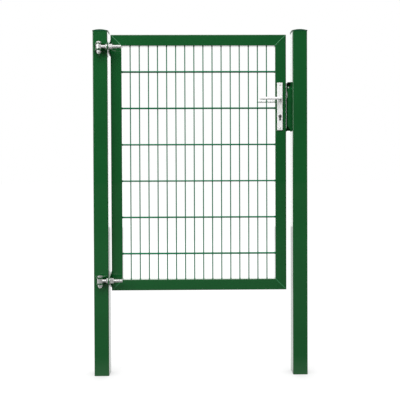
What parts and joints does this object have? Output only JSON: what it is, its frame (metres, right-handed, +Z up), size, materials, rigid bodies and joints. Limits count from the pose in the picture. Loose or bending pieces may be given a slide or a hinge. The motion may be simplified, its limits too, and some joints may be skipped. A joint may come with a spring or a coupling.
{
  "type": "swing gate",
  "caption": "Single swing gate with two square posts, a framed welded mesh leaf on adjustable eye bolt hinges, and a lever lock with keeper.",
  "frame": {"origin": "centre of the hinge post's foot, on the post's lower end face", "axes": "+X from the hinge post to the latch post, -Y to the front where the leaf opens to, +Z up along the posts"},
  "size_m": [1.163, 0.1885, 1.88],
  "materials": {
    "paint": "satin",
    "cap": "gloss",
    "zinc": "satin",
    "silver": "satin",
    "steel": "satin",
    "nickel": "satin"
  },
  "bodies": {
    "posts": {"hinge_post": "paint", "latch_post": "paint", "hinge_post_cap": "cap", "latch_post_cap": "cap", "upper_hinge_bracket": "paint", "lower_hinge_bracket": "paint", "upper_hinge_pin": "zinc", "lower_hinge_pin": "zinc", "upper_pin_nut": "zinc", "lower_pin_nut": "zinc", "keeper": "paint"},
    "leaf": {"hinge_stile": "paint", "lock_stile": "paint", "top_rail": "paint", "bottom_rail": "paint", "mesh_panel": "paint", "upper_hinge_plate": "paint", "lower_hinge_plate": "paint", "upper_eye_bolt": "zinc", "lower_eye_bolt": "zinc", "upper_adjusting_nuts": "zinc", "lower_adjusting_nuts": "zinc", "upper_washer": "zinc", "lower_washer": "zinc", "lock_case": "steel", "lock_faceplate": "steel", "dead_bolt": "steel", "front_lock_plate": "silver", "rear_lock_plate": "silver", "lock_cylinder": "nickel"},
    "handle": {"front_lever": "silver", "rear_lever": "silver", "spindle": "steel"},
    "latch": {"latch_bolt": "zinc"}
  },
  "joints": [
    {"name": "gate_swing", "type": "hinge", "parent": "posts", "child": "leaf", "pos_m": [0, -0.075, 0.95], "axis": [0, 0, -1], "range_deg": [0, 180]},
    {"name": "lever_turn", "type": "hinge", "parent": "leaf", "child": "handle", "pos_m": [0.976, 0.02, 1.5], "axis": [0, -1, 0], "range_deg": [0, 40], "stiffness_Nm_per_rad": 1.5, "springref_deg": -28.65},
    {"name": "latch_slide", "type": "slide", "parent": "leaf", "child": "latch", "axis": [-1, 0, 0], "range_m": [0, 0.011]}
  ],
  "couplings": [
    {"joint": "latch_slide", "follows": "lever_turn", "m_per_rad": 0.0157}
  ]
}
